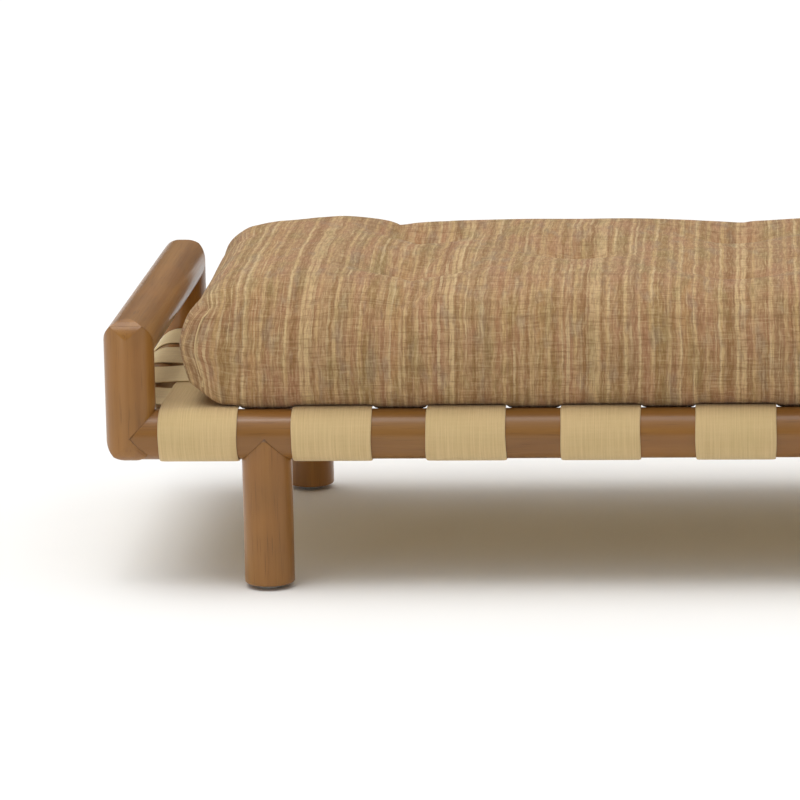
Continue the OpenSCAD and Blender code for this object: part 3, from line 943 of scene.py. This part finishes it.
def sweep(name, path, radius, around=10):
    """A closed round cord along a path: a circle in the plane square to the path's run."""
    run = np.gradient(path, axis=0)
    run /= np.linalg.norm(run, axis=1, keepdims=True)
    aside = np.cross(run, [0.31, 0.83, 0.46])
    aside /= np.linalg.norm(aside, axis=1, keepdims=True)
    other = np.cross(run, aside)
    turn = np.arange(around) * 2 * np.pi / around
    ring = np.cos(turn)[None, :, None] * aside[:, None] + np.sin(turn)[None, :, None] * other[:, None]
    width = np.broadcast_to(np.asarray(radius, float), (len(path),))
    points = (path[:, None] + ring * width[:, None, None]).reshape(-1, 3)
    quads = np.concatenate(tube_grid(len(path), around))
    uv = np.zeros((len(quads), 4, 2))
    return mesh_piece(name, points, quads, uv)


def smooth_path(points, count):
    """Points at even steps along a path, by straight blends between its points."""
    run = np.concatenate([[0], np.cumsum(np.linalg.norm(np.diff(points, axis=0), axis=1))])
    even = np.linspace(0, run[-1], count)
    return np.stack([np.interp(even, run, points[:, k]) for k in range(3)], -1)


def corner_seams(cover, s, material):
    """A felled seam up each end of a long side, along the cover's own grid line."""
    points, lattice, cells = cover
    for x_end, x_name in ((SEAM_CELLS, "head"), (cells[0] - SEAM_CELLS, "foot")):
        for y_end, y_name in ((0, "front"), (cells[1], "back")):
            line = (lattice[:, 0] == x_end) & (lattice[:, 1] == y_end)
            path = points[line][np.argsort(lattice[line][:, 2])][1:]
            path = smooth_path(path, 48)
            piece = sweep(f"corner_seam_{x_name}_{y_name}", path, s.seam_r)
            dress(piece, material)
            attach(piece, "mattress")


def tuft_stitches(cover, material):
    """Twine up through the mattress at each tuft, over in a short stitch and down again.

    Each path is two upright runs joined by a half circle that stands just clear of the
    dimple's floor.
    """
    points, lattice, cells = cover
    top = points[lattice[:, 2] == cells[2]]
    turn = np.linspace(np.pi, 0, 13)
    rise = np.linspace(0, 1, 12, endpoint=False)[:, None]
    for number, (x, y) in enumerate(TUFTS, 1):
        floor = top[np.argmin(np.hypot(top[:, 0] - x, top[:, 1] - y)), 2] - STITCH_HALF + TWINE_R
        low = BED_LOW.z + 2 * MM
        arc = np.stack([
            x + STITCH_HALF * np.cos(turn), np.full(13, y), floor + STITCH_HALF * np.sin(turn),
        ], -1)
        foot = arc[0] * [1, 1, 0] + [0, 0, low]
        up = foot + rise * (arc[0] - foot)
        down = (up * [-1, 1, 1] + [2 * x, 0, 0])[::-1]
        piece = sweep(f"tuft_stitch_{number}", np.concatenate([up, arc, down]), TWINE_R)
        dress(piece, material)
        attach(piece, "mattress")
        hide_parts("tuft_ties")


# ---------------------------------------------------------------- operators


class DAYBED_OT_finish_bars(bpy.types.Operator):
    """Lacquer the bars and legs, each with its grain along its length"""

    bl_idname = "daybed.finish_bars"
    bl_label = "Finish Bars"

    def execute(self, context):
        s = context.scene.daybed_frame
        seed = 0
        for node in sorted(NODES):
            for part, (axis, depth) in BARS.items():
                if part in node and node != "leg_studs":
                    seed += 1
                    dress(NODES[node], lacquered_wood(f"wood_{node}", axis, seed, depth, s))
        return {"FINISHED"}


class DAYBED_OT_finish_fittings(bpy.types.Operator):
    """Finish the dowels, bolts, nuts, studs, nails, tacks and glides"""

    bl_idname = "daybed.finish_fittings"
    bl_label = "Finish Fittings"

    def execute(self, context):
        s = context.scene.daybed_frame
        dress_nodes(["mitre_dowels"], raw_dowel(s))
        steel = plated_steel("plated_steel", s.steel, 0.38, 180)
        dress_nodes(["rail_bolts", "barrel_nuts", "leg_studs", "glide_nails"], steel)
        dress_nodes(["cross_tacks", "long_tacks"], plated_steel("tack_steel", s.tack_steel, 0.45, 260))
        dress_nodes([n for n in NODES if n.startswith("glide_") and n != "glide_nails"], moulded_glide(s))
        return {"FINISHED"}


class DAYBED_OT_weave_webbing(bpy.types.Operator):
    """Weave the straps across and along the bed, wrapped round the rails"""

    bl_idname = "daybed.weave_webbing"
    bl_label = "Weave Webbing"

    def execute(self, context):
        s = context.scene.daybed_webbing
        cloth = webbing_cloth("webbing_cotton", s.straw, s)
        # Painted light: the straps along the bed get a lighter copy of the same webbing.
        pale = webbing_cloth("webbing_cotton_pale", s.straw_lit, s)
        across = [middle(n).x for n in CROSS]
        along = [middle(n).y for n in LONG]
        for i, node in enumerate(CROSS):
            sides = [1 if (i + j) % 2 == 0 else -1 for j in range(len(LONG))]
            strap, run = weave_strap(node, across[i], along, sides, RAIL_Y, "y", s, i + 1)
            dress(strap, cloth)
        for j, node in enumerate(LONG):
            sides = [-1 if (i + j) % 2 == 0 else 1 for i in range(len(CROSS))]
            strap, run = weave_strap(node, along[j], across, sides, LOOP_X, "x", s, j + 21)
            dress(strap, pale)
        dress_nodes(CROSS + LONG, plain_cloth("webbing_plain", s.straw, 700))
        return {"FINISHED"}


class DAYBED_OT_stuff_mattress(bpy.types.Operator):
    """Stuff and tuft the mattress and sew its corners"""

    bl_idname = "daybed.stuff_mattress"
    bl_label = "Stuff Mattress"

    def execute(self, context):
        s = context.scene.daybed_mattress
        shell, quads, cover = build_cover(s)
        dress(shell, striped_cover(s))
        cotton = plain_cloth("cotton_filling", s.filling, 120)
        dress(build_core(shell, quads), cotton)
        dress_nodes(["mattress_core"], cotton)
        corner_seams(cover, s, plain_cloth("seam_cloth", s.seam_tone, 900))
        twine = plain_cloth("tuft_twine", s.twine, 700)
        tuft_stitches(cover, twine)
        dress_nodes(["mattress_cover"], plain_cloth("mattress_plain", shown(*GROUND), 120))
        dress_nodes(["tuft_ties"], twine)
        return {"FINISHED"}


def plain_cloth(name, tone, scale):
    """Matt cloth or cotton of one colour with fine mottling."""
    m = Shader(name)
    place = m("TexCoord").outputs["Object"]
    mottle = m.noise(place, scale, 4, 0.65)
    shade = m.ramp(mottle, [(0.3, [c * 0.7 for c in tone]), (0.7, tone)])
    m.set(Base_Color=shade, Roughness=0.9, Sheen_Weight=0.15, Specular_IOR_Level=0.2)
    m.bump(mottle, 0.0006, 0.6)
    return m.material


class DAYBED_OT_set_stage(bpy.types.Operator):
    """Set the floor, the soft studio light and the camera"""

    bl_idname = "daybed.set_stage"
    bl_label = "Set Stage"

    def execute(self, context):
        s = context.scene.daybed_stage
        floor = mesh_piece("floor", *floor_slab(60, 0.02))
        dress(floor, matt_floor(s))
        context.scene.world = studio_sky(s)
        broad_light(s.sun)
        for name, place, aim, size, power in STUDIO_LIGHTS:
            soft_light(name, place, aim, size, power)
        look = bpy.data.cameras.new("camera")
        look.lens = s.lens
        look.clip_end = 200
        camera = bpy.data.objects.new("camera", look)
        context.scene.collection.objects.link(camera)
        camera.matrix_world = camera_matrix(s)
        context.scene.camera = camera
        context.scene.view_settings.view_transform = "Standard"
        return {"FINISHED"}


# Name, place, point aimed at, width and height, power in watts.
STUDIO_LIGHTS = (
    ("strip", (-2.05, -2.6, 0.36), (-0.91, -0.38, 0.36), (0.08, 0.66), 3),
    ("overhead", (-0.95, -0.9, 2.4), (-0.914, -0.36, 0.44), (0.3, 0.16), 2),
)


def floor_slab(side, depth):
    """A flat slab: its eight corners and six faces, all facing outward."""
    half = side / 2
    points = np.array([(x * half, y * half, z) for z in (-depth, 0) for y in (-1, 1) for x in (-1, 1)])
    quads = np.array([(0, 2, 3, 1), (4, 5, 7, 6), (0, 1, 5, 4), (2, 6, 7, 3), (0, 4, 6, 2), (1, 3, 7, 5)])
    return points, quads, None, False


def matt_floor(s):
    """Pale matt floor with a barely visible unevenness."""
    m = Shader("pale_floor")
    uneven = m.noise(m("TexCoord").outputs["Object"], 3, 2)
    m.set(Base_Color=m.ramp(uneven, [(0.3, [c * 0.985 for c in s.floor_tone]), (0.7, s.floor_tone)]))
    m.set(Roughness=0.9, Specular_IOR_Level=0.1)
    return m.material


def studio_sky(s):
    """White surroundings that brighten on a smooth step from the horizon to overhead."""
    sky = bpy.data.worlds.new("studio")
    sky.use_nodes = True
    nodes, links = sky.node_tree.nodes, sky.node_tree.links
    ground = nodes["Background"]
    ground.inputs["Color"].default_value = (1, 1, 1, 1)
    height = nodes.new("ShaderNodeSeparateXYZ")
    rise = nodes.new("ShaderNodeMapRange")
    rise.interpolation_type = "SMOOTHSTEP"
    rise.inputs["To Min"].default_value = s.sky_low
    rise.inputs["To Max"].default_value = s.sky_high
    links.new(nodes.new("ShaderNodeTexCoord").outputs["Generated"], height.inputs[0])
    links.new(height.outputs["Z"], rise.inputs["Value"])
    links.new(rise.outputs[0], ground.inputs["Strength"])
    return sky


def broad_light(strength):
    """A very soft light from above and a little to the left."""
    light = bpy.data.lights.new("broad", "SUN")
    light.energy = strength
    light.angle = math.radians(50)
    lamp = bpy.data.objects.new("broad", light)
    bpy.context.scene.collection.objects.link(lamp)
    lamp.rotation_mode = "QUATERNION"
    lamp.rotation_quaternion = Vector((0.26, 0.05, -1)).to_track_quat("-Z", "Y")


def soft_light(name, place, aim, size, power):
    """A rectangular area light at place, turned to aim."""
    light = bpy.data.lights.new(name, "AREA")
    light.shape = "RECTANGLE"
    light.size, light.size_y = size
    light.energy = power
    lamp = bpy.data.objects.new(name, light)
    bpy.context.scene.collection.objects.link(lamp)
    lamp.location = place
    lamp.rotation_mode = "QUATERNION"
    lamp.rotation_quaternion = (Vector(aim) - Vector(place)).to_track_quat("-Z", "Y")


def camera_matrix(s):
    """The camera's place and its turn, tilt and roll, as one matrix."""
    level_run = math.cos(s.tilt)
    ahead = Vector((-math.sin(s.turn) * level_run, math.cos(s.turn) * level_run, -math.sin(s.tilt)))
    level = Vector((math.cos(s.turn), math.sin(s.turn), 0))
    down = ahead.cross(level)
    right = math.cos(s.roll) * level + math.sin(s.roll) * down
    up = math.sin(s.roll) * level - math.cos(s.roll) * down
    turn = Matrix((right, up, -ahead)).transposed()
    return Matrix.Translation(s.eye) @ turn.to_4x4()


class DAYBED_PT_panel(bpy.types.Panel):
    """The daybed's steps and settings"""

    bl_idname = "DAYBED_PT_panel"
    bl_label = "Daybed"
    bl_space_type = "VIEW_3D"
    bl_region_type = "UI"
    bl_category = "Daybed"

    def draw(self, context):
        """Lists the steps, then each group's settings."""
        for step in STEPS:
            self.layout.operator(step.bl_idname)
        for group in GROUPS:
            box = self.layout.box()
            settings = getattr(context.scene, group)
            for name in settings.bl_rna.properties.keys():
                if name not in ("rna_type", "name"):
                    box.prop(settings, name)


GROUPS = {
    "daybed_frame": FrameSettings,
    "daybed_webbing": WebbingSettings,
    "daybed_mattress": MattressSettings,
    "daybed_stage": StageSettings,
}
STEPS = (
    DAYBED_OT_set_stage,
    DAYBED_OT_finish_bars,
    DAYBED_OT_finish_fittings,
    DAYBED_OT_weave_webbing,
    DAYBED_OT_stuff_mattress,
)


def register():
    """Adds the settings, the steps and the panel."""
    for cls in (*GROUPS.values(), *STEPS, DAYBED_PT_panel):
        bpy.utils.register_class(cls)
    for name, group in GROUPS.items():
        setattr(bpy.types.Scene, name, PointerProperty(type=group))


def unregister():
    """Takes away what register added."""
    for name in GROUPS:
        delattr(bpy.types.Scene, name)
    for cls in reversed((*GROUPS.values(), *STEPS, DAYBED_PT_panel)):
        bpy.utils.unregister_class(cls)


def main():
    register()
    bpy.ops.daybed.set_stage()
    bpy.ops.daybed.finish_bars()
    bpy.ops.daybed.finish_fittings()
    bpy.ops.daybed.weave_webbing()
    bpy.ops.daybed.stuff_mattress()
    bpy.context.view_layer.update()


if __name__ == "__main__":
    main()
